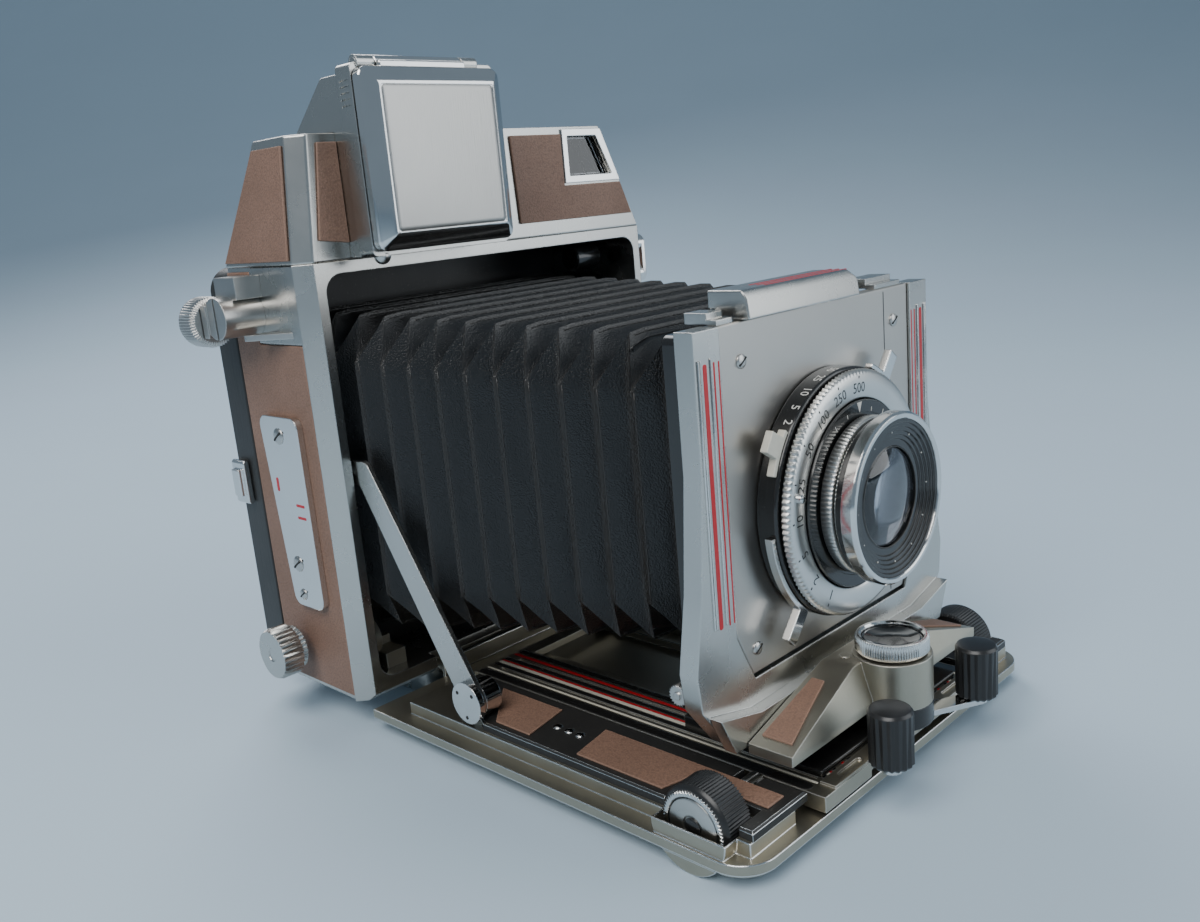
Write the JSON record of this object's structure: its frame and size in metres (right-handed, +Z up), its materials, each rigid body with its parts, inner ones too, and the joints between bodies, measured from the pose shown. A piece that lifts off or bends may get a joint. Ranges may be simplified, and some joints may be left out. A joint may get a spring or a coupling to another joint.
{
  "type": "large format view camera",
  "caption": "Folding metal field camera with a bellows, a rising lens board on a standard that slides along a drop bed, a leaf shutter lens and a lidded optical finder",
  "frame": {"origin": "centre of the tripod socket's mouth, in the underside of the base plate", "axes": "+Z is up, the lens looks along -Y, and +X runs across the camera to the right as seen from in front"},
  "size_m": [0.1519, 0.1968, 0.1794],
  "materials": {
    "satin_chrome": "satin chromed light alloy",
    "bright_chrome": "polished",
    "steel": "brushed",
    "black_leather": "pleated, semi-gloss",
    "black_paint": "semi-gloss black enamel",
    "tan_leather": "fine pebble grain, worn",
    "black_plastic": "moulded, semi-gloss",
    "glass": "coated",
    "brass": "turned"
  },
  "bodies": {
    "camera_body": {"body_shell": "satin_chrome", "top_housing": "satin_chrome", "body_leather": "tan_leather", "rangefinder_bezel": "bright_chrome", "base_plate": "satin_chrome", "finder_box": "satin_chrome", "finder_frame": "satin_chrome", "finder_windows": "glass", "side_plate": "bright_chrome", "body_screws": "steel", "side_bracket": "steel", "carry_lug": "bright_chrome", "coupling_roller": "steel", "bed_catch": "steel", "back_frame": "black_paint", "screen_frame": "black_paint", "focusing_screen": "glass", "hinge_pins": "steel", "bed": "satin_chrome", "bed_covers": "black_paint", "bed_leather": "tan_leather", "struts": "satin_chrome", "strut_pivots": "steel"},
    "focus_track": {"track": "satin_chrome", "focus_racks": "steel", "bellows": "black_leather"},
    "focus_knobs": {"focus_shafts": "steel", "focus_knobs": "black_plastic", "focus_knob_caps": "bright_chrome"},
    "carriage": {"carriage_base": "black_paint", "standard_frame": "satin_chrome", "lock_block": "satin_chrome", "block_leather": "tan_leather", "lever_hub": "black_paint", "bellows_front": "black_leather"},
    "lens_carrier": {"lens_board": "satin_chrome", "bellows_frame": "black_paint", "latch_guides": "satin_chrome", "shutter": "black_paint", "front_cell": "bright_chrome", "front_element": "glass", "rear_cell": "black_paint"},
    "rise_gear": {"rise_pinion": "brass"},
    "board_latch": {"board_latch": "satin_chrome"},
    "speed_ring": {"speed_ring": "steel"},
    "aperture_ring": {"aperture_ring": "steel"},
    "cocking_lever": {"cocking_lever": "steel"},
    "release_lever": {"release_lever": "steel"},
    "sync_lever": {"sync_lever": "steel"},
    "lock_ring": {"lock_ring": "bright_chrome", "lock_cap": "black_plastic"},
    "left_grip": {"left_grip": "black_plastic", "left_grip_lever": "bright_chrome"},
    "right_grip": {"right_grip": "black_plastic", "right_grip_lever": "bright_chrome"},
    "finder_cover": {"finder_cover": "satin_chrome"},
    "upper_knob": {"upper_knob": "steel"},
    "lower_knob": {"lower_knob": "steel"},
    "back_clip": {"back_clip": "bright_chrome"},
    "hood_door": {"hood_door": "black_paint"}
  },
  "joints": [
    {"name": "track_focus", "type": "slide", "parent": "camera_body", "child": "focus_track", "axis": [0, -1, 0], "range_m": [0, 0.015], "deforming": ["bellows"]},
    {"name": "focus_knob_turn", "type": "hinge", "parent": "camera_body", "child": "focus_knobs", "pos_m": [0, -0.1379, 0.0101], "axis": [-1, 0, 0], "range_deg": [0, 360]},
    {"name": "carriage_slide", "type": "slide", "parent": "focus_track", "child": "carriage", "axis": [0, 1, 0], "range_m": [0, 0.055], "deforming": ["bellows"]},
    {"name": "front_rise", "type": "slide", "parent": "carriage", "child": "lens_carrier", "axis": [0, 0, 1], "range_m": [0, 0.02], "deforming": ["bellows_front"]},
    {"name": "rise_gear_turn", "type": "hinge", "parent": "carriage", "child": "rise_gear", "pos_m": [-0.0486, -0.1266, 0.0326], "axis": [-1, 0, 0], "range_deg": [0, 450]},
    {"name": "latch_slide", "type": "slide", "parent": "lens_carrier", "child": "board_latch", "axis": [1, 0, 0], "range_m": [0, 0.008]},
    {"name": "speed_ring_turn", "type": "hinge", "parent": "lens_carrier", "child": "speed_ring", "pos_m": [0, -0.142, 0.0681], "axis": [0, -1, 0], "range_deg": [-120, 60]},
    {"name": "aperture_ring_turn", "type": "hinge", "parent": "lens_carrier", "child": "aperture_ring", "pos_m": [0, -0.1455, 0.0681], "axis": [0, -1, 0], "range_deg": [-90, 30]},
    {"name": "cocking_lever_swing", "type": "hinge", "parent": "lens_carrier", "child": "cocking_lever", "pos_m": [0, -0.139, 0.0681], "axis": [0, -1, 0], "range_deg": [0, 25], "stiffness_Nm_per_rad": 0.006, "springref_deg": -22.92},
    {"name": "release_lever_swing", "type": "hinge", "parent": "lens_carrier", "child": "release_lever", "pos_m": [0, -0.139, 0.0681], "axis": [0, -1, 0], "range_deg": [0, 12], "stiffness_Nm_per_rad": 0.006, "springref_deg": -22.92},
    {"name": "sync_lever_swing", "type": "hinge", "parent": "lens_carrier", "child": "sync_lever", "pos_m": [0, -0.139, 0.0681], "axis": [0, -1, 0], "range_deg": [0, 15]},
    {"name": "lock_ring_turn", "type": "hinge", "parent": "carriage", "child": "lock_ring", "pos_m": [0, -0.1505, 0.033], "axis": [0, 0, 1], "range_deg": [0, 120]},
    {"name": "left_grip_pinch", "type": "hinge", "parent": "carriage", "child": "left_grip", "pos_m": [-0.0054, -0.1532, 0.013], "axis": [0, 0, 1], "range_deg": [0, 15], "stiffness_Nm_per_rad": 0.05, "springref_deg": -11.46},
    {"name": "right_grip_pinch", "type": "hinge", "parent": "carriage", "child": "right_grip", "pos_m": [0.0054, -0.1532, 0.013], "axis": [0, 0, -1], "range_deg": [0, 15], "stiffness_Nm_per_rad": 0.05, "springref_deg": -11.46},
    {"name": "finder_cover_lift", "type": "hinge", "parent": "camera_body", "child": "finder_cover", "pos_m": [-0.0285, -0.0349, 0.1776], "axis": [-1, 0, 0], "range_deg": [0, 100]},
    {"name": "upper_knob_turn", "type": "hinge", "parent": "camera_body", "child": "upper_knob", "pos_m": [-0.0744, 0.0138, 0.1162], "axis": [0, 1, 0], "range_deg": [-180, 180]},
    {"name": "lower_knob_turn", "type": "hinge", "parent": "camera_body", "child": "lower_knob", "pos_m": [-0.07, 0.0028, 0.0214], "axis": [-1, 0, 0], "range_deg": [-180, 180]},
    {"name": "back_clip_slide", "type": "slide", "parent": "camera_body", "child": "back_clip", "axis": [0, 0, 1], "range_m": [0, 0.004]},
    {"name": "hood_door_lift", "type": "hinge", "parent": "camera_body", "child": "hood_door", "pos_m": [0, 0.0282, 0.1156], "axis": [1, 0, 0], "range_deg": [0, 110]}
  ],
  "couplings": [
    {"joint": "focus_knob_turn", "follows": "track_focus", "rad_per_m": 416.67},
    {"joint": "rise_gear_turn", "follows": "front_rise", "rad_per_m": 384.62}
  ]
}
